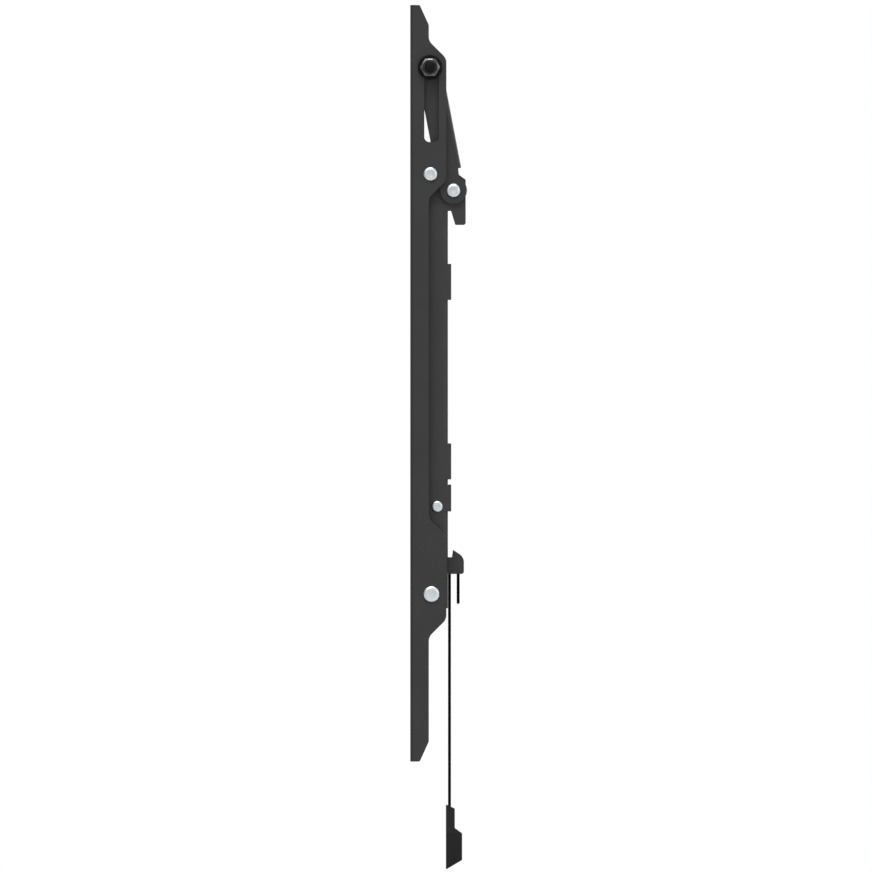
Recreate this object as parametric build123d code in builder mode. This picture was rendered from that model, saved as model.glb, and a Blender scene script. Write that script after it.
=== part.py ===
from build123d import *
import os
from math import atan2, cos, degrees, hypot, radians, sin

# Tilting TV bracket: a channel that screws to the TV, a hook rail that hangs on the wall plate, an
# arm that joins their tops, a spring latch at the rail's foot and a pull cord with a handle.
# Millimetres. X runs across the bracket, -Y points to the TV, +Y to the wall, +Z up.
# The origin is the hook's seat: x = 0 mid-width, y = 0 the rail's back face, z = 0 the hook's ceiling.
# Places in a side view are (y, z).

# ---- driving dimensions -------------------------------------------------------------------------

# sheet metal
sheet = 2.0
bend_inside = 0.8
bracket_width = 34.0
bracket_height = 432.0
bracket_top = 117.6
bracket_face = -21.5

# places of the five cross pins
tilt_bolt_at = (-10.22, 82.05)
stop_at = (-9.94, 21.24)
arm_pivot_at = (3.17, 11.82)
guide_at = (-6.17, -168.7)
tilt_pivot_at = (-9.36, -218.7)

# TV bracket outline
flange_depth = 10.6
ear_depth = 20.64
tip_depth = 5.43
tip_length = 11.4
upper_ear_top = 87.1
upper_ear_bottom = 17.4
lower_ear_top = -185.6
lower_ear_bottom = -233.2
ear_slope = 10.0
outline_radius = 6.0
taper_radius = 3.0
tip_radius = 1.2

# tilt slot
slot_room_edge = -13.45
slot_wall_edge = -5.3
slot_bottom = 39.4
slot_headroom = 1.2
slot_corner = 2.8

# holes in the TV bracket's web
screw_hole_radius = 4.5
screw_rows = (101.6, 1.6, -48.4, -98.4, -248.4, -298.4)
adjust_slot_width = 9.0
adjust_slot_length = 30.0
adjust_slot_rows = (51.6, -148.4, -198.4)

# hook rail
rail_depth = 16.0
rail_bottom = -226.9
rail_foot_radius = 4.0
hook_reach = 10.16
hook_drop = 8.0
hook_tip_radius = 1.4
throat_top = 1.8
throat_mouth = 4.2
throat_radius = 0.5
head_radius = 11.3
head_crown_run = 3.54
head_crown_rise = 8.62
head_shoulder_rise = 6.0
head_neck_rise = 9.0
foot_height = 1.9
foot_spans = ((-50.8, -30.2), (-153.3, -132.7), (-171.6, -156.2))
foot_slot_width = 2.0
access_margin = 1.2
access_rows = (-48.4, -98.4)

# tilt arm
arm_half_width = 7.7
arm_web_offset = 6.75
arm_web_start = 11.8
arm_web_stop_gap = 9.5

# pins, tubes and washers
arm_pin_radius = 3.0
arm_pin_head = 4.0
arm_pin_tube = 4.0
tilt_pin_radius = 3.5
tilt_pin_head = 4.65
tilt_pin_tube = 4.4
tilt_bush_radius = 6.0
stop_pin_radius = 2.4
stop_pin_head = 4.0
stop_tube_radius = 3.0
guide_pin_radius = 2.5
guide_pin_head = 3.25
rivet_head_height = 1.9
guide_head_height = 1.4
friction_washer = 1.0
friction_washer_radius = 7.0
pivot_washer = 0.8
pivot_washer_radius = 6.0

# tilt bolt, an M6 with a reduced shank, and its lock nut
thread_radius = 2.95
shank_relief = 0.33
hex_across_flats = 10.0
bolt_head_height = 4.0
nut_height = 6.0
nut_ring_depth = 1.6
nut_ring_radius = 4.0
nut_ring_recess = 0.2
nut_rim = 0.3
nut_shoulder = 1.2
thread_end = 1.4
thread_chamfer = 0.6
hex_corner_drop = 0.4
big_washer = 1.0
big_washer_radius = 7.0
bolt_tube_radius = 5.0

# latch slider and its spring
latch_travel = 6.0
latch_top = -152.0
latch_floor = -197.7
latch_bottom = -207.3
latch_depth = 10.4
latch_notch = 2.3
latch_tip = (2.91, -193.45)
latch_shoulder = (6.62, -195.9)
latch_reach = 9.14
latch_side = -200.4
latch_corner = 1.5
pocket_half_width = 4.0
pocket_top = -176.0
pocket_margin = 1.0
spring_seat = -190.0
spring_radius = 2.65
spring_wire = 0.35
spring_turns = 6.0
tab_thickness = 1.5
tab_reach = 7.6

# pull cord, its tail and the handle
cord_radius = 0.85
cord_gap = 0.05
tail_radius = 0.875
tail_y = 5.85
tail_length = 17.1
handle_top = -338.8
handle_top_slope = 2.4
handle_face = -1.14
handle_neck = 3.94
handle_neck_bottom = -352.3
handle_step_bottom = -355.3
handle_back = 8.11
handle_back_bottom = -370.6
handle_bottom = -376.1
handle_width = 18.0
handle_neck_width = 10.0
handle_round = 0.4
handle_taper = 2.0
knot_top = -358.0
knot_length = 4.6
knot_radius = 1.7
knot_y = 1.4
cover_thickness = 0.8
cover_width = 8.0
cover_length = 10.0

# clearances
pin_fit = 0.05
side_play = 0.1
slider_play = 0.3
beak_margin = 2.2
window_play = 0.4
window_end_play = 1.2
face_play = 0.15
pocket_play = 0.1

# ---- sizes that follow --------------------------------------------------------------------------

bracket_half = bracket_width / 2
bracket_inner = bracket_half - sheet
arm_half = bracket_inner - friction_washer - side_play
arm_inner = arm_half - sheet
rail_half = arm_inner - pivot_washer - side_play
rail_inner = rail_half - sheet
slider_half = rail_inner - slider_play
beak_half = slider_half - beak_margin
window_half = beak_half + window_play
access_radius = rail_inner - foot_slot_width - access_margin
tab_half_width = pocket_half_width - pocket_margin

bracket_bottom = bracket_top - bracket_height
flange_edge = bracket_face + flange_depth
ear_edge = bracket_face + ear_depth
tip_edge = bracket_face + tip_depth
bend_outside = bend_inside + sheet

arm_run = (tilt_bolt_at[0] - arm_pivot_at[0], tilt_bolt_at[1] - arm_pivot_at[1])
arm_length = hypot(*arm_run)
arm_lean = degrees(atan2(-arm_run[0], arm_run[1]))
arm_web_inside = arm_web_offset - sheet
washer_face = bracket_half + big_washer
shank_radius = thread_radius - shank_relief
hex_flat = hex_across_flats / 2
head_end = -washer_face - bolt_head_height
nut_outside = washer_face + nut_height
bolt_tip = nut_outside + thread_end

cord_y = cord_radius + cord_gap
latch_hung = latch_bottom - latch_travel

across = Plane.YZ
arm_side = Plane(
    origin=(0, arm_pivot_at[0], arm_pivot_at[1]),
    x_dir=(0, cos(radians(arm_lean)), sin(radians(arm_lean))),
    z_dir=(1, 0, 0),
)
arm_foot = Plane(
    origin=arm_side.from_local_coords((0, arm_web_start, 0)),
    x_dir=(1, 0, 0),
    z_dir=(0, -sin(radians(arm_lean)), cos(radians(arm_lean))),
)


# ---- shapes that repeat -------------------------------------------------------------------------


def channel_face(half_width, back, depth, wall, opens):
    """Section of a bent channel. Its web's outer face lies at y = back; opens is the side, +1 or -1,
    to which the flanges reach over depth."""
    with BuildSketch() as section:
        with Locations((0, back + opens * depth / 2)):
            Rectangle(2 * half_width, depth)
        web_corners = section.vertices().group_by(Axis.Y)[0 if opens > 0 else -1]
        fillet(web_corners, bend_outside)
        with BuildSketch(mode=Mode.SUBTRACT) as hollow:
            with Locations((0, back + opens * (wall + depth / 2))):
                Rectangle(2 * (half_width - wall), depth)
            inner_corners = hollow.vertices().group_by(Axis.Y)[0 if opens > 0 else -1]
            fillet(inner_corners, bend_inside)
    return section.sketch


def turned(at, profile):
    """Solid turned about an axis along X through the side-view point at, from (x, radius) points."""
    plane = Plane(origin=(0, at[0], at[1]), x_dir=(1, 0, 0), z_dir=(0, -1, 0))
    with BuildPart() as piece:
        with BuildSketch(plane):
            with BuildLine():
                Polyline(*profile, close=True)
            make_face()
        revolve(axis=Axis((0, at[0], at[1]), (1, 0, 0)))
    return piece.part


def ring(at, start, stop, outer, bore):
    """Tube or washer on an axis along X, from x = start to x = stop."""
    return turned(at, [(start, bore), (start, outer), (stop, outer), (stop, bore)])


def ring_pair(at, start, stop, outer, bore):
    """The same ring on both sides of the bracket, as two solids."""
    return [ring(at, start, stop, outer, bore), ring(at, -stop, -start, outer, bore)]


def rivet(at, seat, shank, head, height):
    """Double-headed rivet: heads seat at x = +seat and -seat, with a short wall, a rounded shoulder
    and a flat crown."""
    crown = 0.55 * head
    wall = 0.3 * height
    plane = Plane(origin=(0, at[0], at[1]), x_dir=(1, 0, 0), z_dir=(0, -1, 0))
    with BuildPart() as piece:
        with BuildSketch(plane):
            with BuildLine():
                Polyline((0, 0), (0, shank), (seat, shank), (seat, head), (seat + wall, head))
                EllipticalCenterArc(
                    (seat + wall, crown), height - wall, head - crown, start_angle=0, arc_size=90
                )
                Polyline((seat + height, crown), (seat + height, 0), (0, 0))
            make_face()
        revolve(axis=Axis((0, at[0], at[1]), (1, 0, 0)))
        mirror(about=Plane.YZ)
    return piece.part


# ---- TV bracket ---------------------------------------------------------------------------------

os.makedirs("parts", exist_ok=True)

bracket_outline = [
    (bracket_face, bracket_top),
    (tip_edge, bracket_top),
    (flange_edge, bracket_top - tip_length),
    (flange_edge, upper_ear_top + ear_slope),
    (ear_edge, upper_ear_top),
    (ear_edge, upper_ear_bottom),
    (flange_edge, upper_ear_bottom - ear_slope),
    (flange_edge, lower_ear_top + ear_slope),
    (ear_edge, lower_ear_top),
    (ear_edge, lower_ear_bottom),
    (flange_edge, lower_ear_bottom - ear_slope),
    (flange_edge, bracket_bottom + tip_length),
    (tip_edge, bracket_bottom),
    (bracket_face, bracket_bottom),
]
bracket_radii = [tip_radius, taper_radius] + [outline_radius] * 8 + [taper_radius, tip_radius]
slot_top = tilt_bolt_at[1] + shank_radius + slot_headroom

with BuildPart() as tv_bracket:
    with BuildSketch(Plane.XY.offset(bracket_bottom)):
        add(channel_face(bracket_half, bracket_face, ear_depth, sheet, 1))
    extrude(amount=bracket_height)
    with BuildSketch(across):
        with BuildLine():
            outline = FilletPolyline(*bracket_outline, radius=bracket_radii)
            Line(outline @ 1, outline @ 0)
        make_face()
    extrude(amount=bracket_half, both=True, mode=Mode.INTERSECT)
    # tilt slots, one in each flange
    with BuildSketch(across):
        with Locations(((slot_room_edge + slot_wall_edge) / 2, (slot_top + slot_bottom) / 2)):
            RectangleRounded(slot_wall_edge - slot_room_edge, slot_top - slot_bottom, slot_corner)
    extrude(amount=bracket_half, both=True, mode=Mode.SUBTRACT)
    # holes of the stop rivet and the tilt pivot
    with BuildSketch(across):
        with Locations(stop_at):
            Circle(stop_pin_radius + pin_fit)
        with Locations(tilt_pivot_at):
            Circle(tilt_pin_radius + pin_fit)
    extrude(amount=bracket_half, both=True, mode=Mode.SUBTRACT)
    # screw holes and adjusting slots in the web
    with BuildSketch(Plane.XZ.offset(-bracket_face)):
        with Locations(*[(0, row) for row in screw_rows]):
            Circle(screw_hole_radius)
        with Locations(*[(0, row) for row in adjust_slot_rows]):
            SlotOverall(adjust_slot_length, adjust_slot_width, rotation=90)
    extrude(amount=-sheet, mode=Mode.SUBTRACT)
tv_bracket.part.label = "tv_bracket"
export_step(tv_bracket.part, "parts/tv_bracket.step")

with BuildPart() as stop_rivet:
    add(rivet(stop_at, bracket_half, stop_pin_radius, stop_pin_head, rivet_head_height))
stop_rivet.part.label = "stop_rivet"
export_step(stop_rivet.part, "parts/stop_rivet.step")

with BuildPart() as stop_tube:
    add(ring(stop_at, -bracket_inner, bracket_inner, stop_tube_radius, stop_pin_radius + pin_fit))
stop_tube.part.label = "stop_tube"
export_step(stop_tube.part, "parts/stop_tube.step")

# ---- hook rail ----------------------------------------------------------------------------------

hook_bottom = -hook_drop
head_centre_y, head_centre_z = arm_pivot_at
head_outline = [
    (-rail_depth, hook_bottom),
    (-rail_depth, hook_bottom + head_neck_rise),
    (head_centre_y - 1.12 * head_radius, head_centre_z),
    (head_centre_y - 0.83 * head_radius, head_centre_z + 0.5 * head_radius),
    (head_centre_y - 0.45 * head_radius, head_centre_z + 0.86 * head_radius),
    (head_centre_y, head_centre_z + 0.98 * head_radius),
    (hook_reach - head_crown_run, head_centre_z + head_crown_rise),
    (hook_reach, head_centre_z + head_shoulder_rise),
    (hook_reach, hook_bottom),
    (throat_mouth, hook_bottom),
    (throat_top, 0),
    (0, 0),
    (0, hook_bottom),
]
head_radii = [2.0, 4.0, 3.0, 3.0, 3.0, 2.0, 1.0, hook_tip_radius, 0.8, throat_radius, throat_radius]

with BuildPart() as hook_rail:
    with BuildSketch(Plane.XY.offset(rail_bottom)):
        add(channel_face(rail_half, 0, rail_depth, sheet, -1))
    extrude(amount=hook_bottom - rail_bottom)
    room_feet = hook_rail.edges().filter_by(Axis.X).group_by(Axis.Z)[0].sort_by(Axis.Y)[:2]
    fillet(room_feet, rail_foot_radius)
    # the two hook plates carry on from the flanges
    with BuildSketch(across.offset(rail_inner), across.offset(-rail_half)):
        with BuildLine():
            head = FilletPolyline(*head_outline, radius=head_radii)
            Line(head @ 1, head @ 0)
        make_face()
    extrude(amount=sheet)
    # feet that bear on the wall plate, and the slots punched beside them
    for low, high in foot_spans:
        with BuildSketch(across.offset(rail_inner), across.offset(-rail_half)):
            with Locations(((foot_height - bend_outside) / 2, (low + high) / 2)):
                Rectangle(foot_height + bend_outside, high - low)
        extrude(amount=sheet)
        with BuildSketch(Plane.XZ):
            slot_x = rail_inner - foot_slot_width / 2
            with Locations((slot_x, (low + high) / 2), (-slot_x, (low + high) / 2)):
                Rectangle(foot_slot_width, high - low)
        extrude(amount=bend_outside, mode=Mode.SUBTRACT)
    # latch window, screwdriver holes and the hole that the spring tab is bent from
    with BuildSketch(Plane.XZ):
        window_top = latch_floor + window_end_play
        window_low = latch_hung - window_end_play
        with Locations((0, (window_top + window_low) / 2)):
            Rectangle(2 * window_half, window_top - window_low)
        with Locations(*[(0, row) for row in access_rows]):
            Circle(access_radius)
        with Locations((0, spring_seat + tab_reach / 2)):
            Rectangle(2 * tab_half_width, tab_reach)
    extrude(amount=sheet, mode=Mode.SUBTRACT)
    with BuildSketch(Plane.XY.offset(spring_seat - tab_thickness)):
        with Locations((0, -(tab_reach + sheet) / 2)):
            Rectangle(2 * tab_half_width, tab_reach + sheet)
    extrude(amount=tab_thickness)
    # pin holes
    with BuildSketch(across):
        with Locations(arm_pivot_at):
            Circle(arm_pin_radius + pin_fit)
        with Locations(guide_at):
            Circle(guide_pin_radius + pin_fit)
        with Locations(tilt_pivot_at):
            Circle(tilt_pin_radius + pin_fit)
    extrude(amount=rail_half, both=True, mode=Mode.SUBTRACT)
hook_rail.part.label = "hook_rail"
export_step(hook_rail.part, "parts/hook_rail.step")

with BuildPart() as arm_pivot_rivet:
    add(rivet(arm_pivot_at, arm_half + pin_fit, arm_pin_radius, arm_pin_head, rivet_head_height))
arm_pivot_rivet.part.label = "arm_pivot_rivet"
export_step(arm_pivot_rivet.part, "parts/arm_pivot_rivet.step")

with BuildPart() as arm_pivot_tube:
    add(ring(arm_pivot_at, -rail_inner, rail_inner, arm_pin_tube, arm_pin_radius + pin_fit))
arm_pivot_tube.part.label = "arm_pivot_tube"
export_step(arm_pivot_tube.part, "parts/arm_pivot_tube.step")

with BuildPart() as arm_pivot_washers:
    pivot_washer_outside = rail_half + pivot_washer
    add(
        ring_pair(
            arm_pivot_at, rail_half, pivot_washer_outside, pivot_washer_radius, arm_pin_radius + pin_fit
        )
    )
arm_pivot_washers.part.label = "arm_pivot_washers"
export_step(arm_pivot_washers.part, "parts/arm_pivot_washers.step")

with BuildPart() as latch_guide_rivet:
    add(rivet(guide_at, rail_half, guide_pin_radius, guide_pin_head, guide_head_height))
latch_guide_rivet.part.label = "latch_guide_rivet"
export_step(latch_guide_rivet.part, "parts/latch_guide_rivet.step")

with BuildPart() as tilt_pivot_rivet:
    add(rivet(tilt_pivot_at, bracket_half + pin_fit, tilt_pin_radius, tilt_pin_head, rivet_head_height))
tilt_pivot_rivet.part.label = "tilt_pivot_rivet"
export_step(tilt_pivot_rivet.part, "parts/tilt_pivot_rivet.step")

with BuildPart() as tilt_pivot_tube:
    add(ring(tilt_pivot_at, -rail_inner, rail_inner, tilt_pin_tube, tilt_pin_radius + pin_fit))
tilt_pivot_tube.part.label = "tilt_pivot_tube"
export_step(tilt_pivot_tube.part, "parts/tilt_pivot_tube.step")

with BuildPart() as tilt_pivot_bushes:
    bush_outside = bracket_inner - pin_fit
    add(ring_pair(tilt_pivot_at, rail_half, bush_outside, tilt_bush_radius, tilt_pin_radius + pin_fit))
tilt_pivot_bushes.part.label = "tilt_pivot_bushes"
export_step(tilt_pivot_bushes.part, "parts/tilt_pivot_bushes.step")

# ---- tilt arm and its clamping bolt -------------------------------------------------------------

with BuildPart() as tilt_arm:
    # two side plates, rounded at both ends
    with BuildSketch(arm_side.offset(arm_inner), arm_side.offset(-arm_half)):
        with Locations((0, 0), (0, arm_length)):
            Circle(arm_half_width)
        with Locations(((arm_web_inside - arm_half_width) / 2, arm_length / 2)):
            Rectangle(arm_web_inside + arm_half_width, arm_length)
    extrude(amount=sheet)
    # the web and its bends on the wall side
    with BuildSketch(arm_foot):
        add(channel_face(arm_half, arm_web_offset, arm_web_offset, sheet, -1))
    extrude(amount=arm_length - arm_web_start - arm_web_stop_gap)
    with BuildSketch(arm_side):
        Circle(arm_pin_radius + pin_fit)
        with Locations((0, arm_length)):
            Circle(thread_radius + pin_fit)
    extrude(amount=arm_half, both=True, mode=Mode.SUBTRACT)
tilt_arm.part.label = "tilt_arm"
export_step(tilt_arm.part, "parts/tilt_arm.step")

with BuildPart() as tilt_bolt:
    with BuildSketch(across.offset(-washer_face)):
        with Locations(tilt_bolt_at):
            RegularPolygon(hex_flat, 6, major_radius=False)
    extrude(amount=-bolt_head_height)
    add(
        turned(
            tilt_bolt_at,
            [
                (-washer_face, 0),
                (-washer_face, shank_radius),
                (bracket_half, shank_radius),
                (washer_face, thread_radius),
                (bolt_tip - thread_chamfer, thread_radius),
                (bolt_tip, thread_radius - thread_chamfer),
                (bolt_tip, 0),
            ],
        )
    )
    # the head's corners are turned off at 30 degrees
    add(
        turned(
            tilt_bolt_at,
            [
                (head_end, 0),
                (head_end, hex_flat - hex_corner_drop),
                (head_end + 2 * hex_corner_drop, hex_flat + 3 * hex_corner_drop),
                (bolt_tip, hex_flat + 3 * hex_corner_drop),
                (bolt_tip, 0),
            ],
        ),
        mode=Mode.INTERSECT,
    )
tilt_bolt.part.label = "tilt_bolt"
export_step(tilt_bolt.part, "parts/tilt_bolt.step")

with BuildPart() as tilt_nut:
    with BuildSketch(across.offset(washer_face)):
        with Locations(tilt_bolt_at):
            RegularPolygon(hex_flat, 6, major_radius=False)
            Circle(thread_radius + pin_fit, mode=Mode.SUBTRACT)
    extrude(amount=nut_height)
    with BuildSketch(across.offset(nut_outside)):
        with Locations(tilt_bolt_at):
            Circle(nut_ring_radius + pin_fit)
    extrude(amount=-nut_ring_depth, mode=Mode.SUBTRACT)
    add(
        turned(
            tilt_bolt_at,
            [
                (washer_face, 0),
                (washer_face, hex_flat + hex_corner_drop),
                (washer_face + hex_corner_drop, hex_flat + 4 * hex_corner_drop),
                (nut_outside - nut_shoulder, hex_flat + 4 * hex_corner_drop),
                (nut_outside, nut_ring_radius + nut_rim),
                (nut_outside, 0),
            ],
        ),
        mode=Mode.INTERSECT,
    )
tilt_nut.part.label = "tilt_nut"
export_step(tilt_nut.part, "parts/tilt_nut.step")

with BuildPart() as nut_lock_ring:
    ring_floor = nut_outside - nut_ring_depth
    ring_top = nut_outside - nut_ring_recess
    add(ring(tilt_bolt_at, ring_floor, ring_top, nut_ring_radius, thread_radius + pin_fit))
nut_lock_ring.part.label = "nut_lock_ring"
export_step(nut_lock_ring.part, "parts/nut_lock_ring.step")

with BuildPart() as bolt_washers:
    bolt_bore = thread_radius + pin_fit
    add(ring_pair(tilt_bolt_at, bracket_half, washer_face, big_washer_radius, bolt_bore))
bolt_washers.part.label = "bolt_washers"
export_step(bolt_washers.part, "parts/bolt_washers.step")

with BuildPart() as friction_washers:
    washer_out = arm_half + friction_washer
    add(ring_pair(tilt_bolt_at, arm_half, washer_out, friction_washer_radius, bolt_bore))
friction_washers.part.label = "friction_washers"
export_step(friction_washers.part, "parts/friction_washers.step")

with BuildPart() as bolt_tube:
    add(ring(tilt_bolt_at, -arm_inner, arm_inner, bolt_tube_radius, bolt_bore))
bolt_tube.part.label = "bolt_tube"
export_step(bolt_tube.part, "parts/bolt_tube.step")

# ---- latch --------------------------------------------------------------------------------------

latch_back = -sheet - face_play
with BuildPart() as latch_slider:
    # carriage, which slides inside the rail
    with BuildSketch(across):
        with Locations(((latch_back - latch_depth) / 2, (latch_top + latch_bottom) / 2)):
            Rectangle(latch_back + latch_depth, latch_top - latch_bottom)
    extrude(amount=slider_half, both=True)
    chamfer(latch_slider.edges().filter_by(Axis.Z), bend_inside)
    # beak, which reaches through the rail's window and catches the wall plate's lower lip
    with BuildSketch(across):
        with BuildLine():
            lead_in = Line(latch_tip, latch_shoulder)
            nose = TangentArc(latch_shoulder, (latch_reach, latch_side), tangent=lead_in % 1)
            back = FilletPolyline(
                nose @ 1,
                (latch_reach, latch_bottom),
                (latch_back - 1, latch_bottom),
                (latch_back - 1, latch_floor),
                (latch_notch, latch_floor),
                latch_tip,
                radius=[latch_corner, 0.4, 0.4, 0.4],
            )
        make_face()
    extrude(amount=beak_half, both=True)
    # slot for the guide rivet
    with BuildSketch(across):
        with Locations((guide_at[0], guide_at[1] + latch_travel / 2)):
            SlotCenterToCenter(latch_travel, 2 * (guide_pin_radius + pocket_play), rotation=90)
    extrude(amount=slider_half, both=True, mode=Mode.SUBTRACT)
    # pocket for the spring and its tab
    pocket_low = spring_seat - tab_thickness - pocket_margin
    with BuildSketch(Plane.XZ.offset(-latch_back)):
        with Locations((0, (pocket_top + pocket_low) / 2)):
            Rectangle(2 * pocket_half_width, pocket_top - pocket_low)
    extrude(amount=latch_depth + latch_back, mode=Mode.SUBTRACT)
latch_slider.part.label = "latch_slider"
export_step(latch_slider.part, "parts/latch_slider.step")

spring_y = (latch_back - latch_depth) / 2
spring_height = pocket_top - spring_seat - 2 * spring_wire
with BuildPart() as latch_spring:
    with BuildLine() as coil:
        Helix(
            spring_height / spring_turns,
            spring_height,
            spring_radius,
            center=(0, spring_y, spring_seat + spring_wire),
        )
    with BuildSketch(Plane(origin=coil.line @ 0, z_dir=coil.line % 0)):
        Circle(spring_wire)
    sweep(path=coil.line, is_frenet=True)
latch_spring.part.label = "latch_spring"
export_step(latch_spring.part, "parts/latch_spring.step")

# ---- pull cord and handle -----------------------------------------------------------------------

with BuildPart() as pull_cord:
    with BuildSketch(Plane.XY.offset(latch_bottom)):
        with Locations((0, cord_y)):
            Circle(cord_radius)
    extrude(amount=knot_top - latch_bottom)
pull_cord.part.label = "pull_cord"
export_step(pull_cord.part, "parts/pull_cord.step")

with BuildPart() as cord_tail:
    with BuildSketch(Plane.XY.offset(latch_bottom)):
        with Locations((0, tail_y)):
            Circle(tail_radius)
    extrude(amount=-tail_length)
    fillet(cord_tail.edges().group_by(Axis.Z)[0], 0.3)
cord_tail.part.label = "cord_tail"
export_step(cord_tail.part, "parts/cord_tail.step")

with BuildPart() as cord_knot:
    with BuildSketch(Plane.XY.offset(knot_top)):
        with Locations((0, knot_y)):
            Circle(knot_radius)
    extrude(amount=-knot_length)
    fillet(cord_knot.edges().group_by(Axis.Z)[0], 1.2)
    chamfer(cord_knot.edges().group_by(Axis.Z)[-1], 0.3)
cord_knot.part.label = "cord_knot"
export_step(cord_knot.part, "parts/cord_knot.step")

handle_outline = [
    (handle_face, handle_top),
    (handle_neck, handle_top - handle_top_slope),
    (handle_neck, handle_neck_bottom),
    (handle_back, handle_step_bottom),
    (handle_back, handle_back_bottom),
    (handle_face, handle_bottom),
]
cover_mid = knot_top - knot_length / 2

with BuildPart() as pull_handle:
    with BuildSketch(across):
        Polygon(*handle_outline, align=None)
    extrude(amount=handle_width / 2, both=True)
    with BuildSketch(Plane.XZ.offset(-handle_back)):
        Polygon(
            (-handle_neck_width / 2, handle_top),
            (handle_neck_width / 2, handle_top),
            (handle_width / 2, handle_step_bottom),
            (handle_width / 2 - handle_taper, handle_bottom),
            (-handle_width / 2 + handle_taper, handle_bottom),
            (-handle_width / 2, handle_step_bottom),
            align=None,
        )
    extrude(amount=handle_back - handle_face, mode=Mode.INTERSECT)
    fillet(pull_handle.edges(), handle_round)
    # cord hole, knot pocket and the cover's recess
    with BuildSketch(Plane.XY.offset(handle_top)):
        with Locations((0, cord_y)):
            Circle(cord_radius + pocket_play)
    extrude(amount=knot_top - handle_top, mode=Mode.SUBTRACT)
    with BuildSketch(Plane.XZ.offset(-handle_face)):
        with Locations((0, cover_mid)):
            Rectangle(2 * (knot_radius + pocket_play), knot_length + 2 * pocket_play)
    extrude(amount=-(knot_y + knot_radius + pocket_play - handle_face), mode=Mode.SUBTRACT)
    with BuildSketch(Plane.XZ.offset(-handle_face)):
        with Locations((0, cover_mid)):
            RectangleRounded(cover_width, cover_length, 1.0)
    extrude(amount=-cover_thickness, mode=Mode.SUBTRACT)
pull_handle.part.label = "pull_handle"
export_step(pull_handle.part, "parts/pull_handle.step")

with BuildPart() as handle_cover:
    with BuildSketch(Plane.XZ.offset(-handle_face)):
        with Locations((0, cover_mid)):
            RectangleRounded(cover_width - 2 * pocket_play, cover_length - 2 * pocket_play, 0.9)
    extrude(amount=-cover_thickness)
handle_cover.part.label = "handle_cover"
export_step(handle_cover.part, "parts/handle_cover.step")
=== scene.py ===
"""Looks of a tilting TV bracket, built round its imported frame.

The bracket is a folded channel, a hook rail and a tilt arm in black powder coat, zinc rivets, a black
clamping bolt, a spring latch and a braided pull cord with a moulded handle. Metres throughout; X runs
across the bracket, -Y points to the TV, +Y to the wall and +Z up, as in the frame.
"""

import logging
from dataclasses import dataclass
from enum import Enum
from math import cos, pi, radians, sin, tan
from typing import Callable, Optional, Sequence, Union

import bmesh
import bpy
import numpy as np
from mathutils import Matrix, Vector


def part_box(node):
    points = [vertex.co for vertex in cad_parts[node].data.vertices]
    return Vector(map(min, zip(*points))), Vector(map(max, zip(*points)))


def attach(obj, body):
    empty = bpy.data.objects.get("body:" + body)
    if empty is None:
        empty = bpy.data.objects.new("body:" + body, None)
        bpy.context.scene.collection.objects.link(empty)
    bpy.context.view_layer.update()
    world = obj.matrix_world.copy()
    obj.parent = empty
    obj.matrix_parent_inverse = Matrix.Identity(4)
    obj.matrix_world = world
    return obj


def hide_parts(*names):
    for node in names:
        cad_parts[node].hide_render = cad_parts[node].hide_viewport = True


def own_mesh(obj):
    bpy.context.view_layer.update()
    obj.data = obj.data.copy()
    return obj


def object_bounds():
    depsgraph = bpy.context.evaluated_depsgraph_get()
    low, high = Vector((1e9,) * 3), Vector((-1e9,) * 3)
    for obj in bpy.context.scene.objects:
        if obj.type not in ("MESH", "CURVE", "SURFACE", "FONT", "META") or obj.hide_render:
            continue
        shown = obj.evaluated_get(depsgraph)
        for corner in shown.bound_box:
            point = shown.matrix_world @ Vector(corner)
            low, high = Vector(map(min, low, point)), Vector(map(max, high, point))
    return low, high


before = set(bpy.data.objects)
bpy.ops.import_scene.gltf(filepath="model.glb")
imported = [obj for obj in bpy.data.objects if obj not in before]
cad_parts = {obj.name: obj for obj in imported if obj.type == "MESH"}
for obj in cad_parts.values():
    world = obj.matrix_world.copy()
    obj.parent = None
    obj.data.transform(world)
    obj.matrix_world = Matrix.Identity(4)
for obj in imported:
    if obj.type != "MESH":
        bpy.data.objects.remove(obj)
CAD_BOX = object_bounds()

MM = 0.001
ROUND = 96  # points round a turned piece
POINTED = 50.0  # degrees, widest corner of a face that counts as pointed
log = logging.getLogger("tv_bracket")

Colour = tuple[float, float, float]
Value = Union["Flow", float, int, Sequence[float]]


# ---- shader maths --------------------------------------------------


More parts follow.
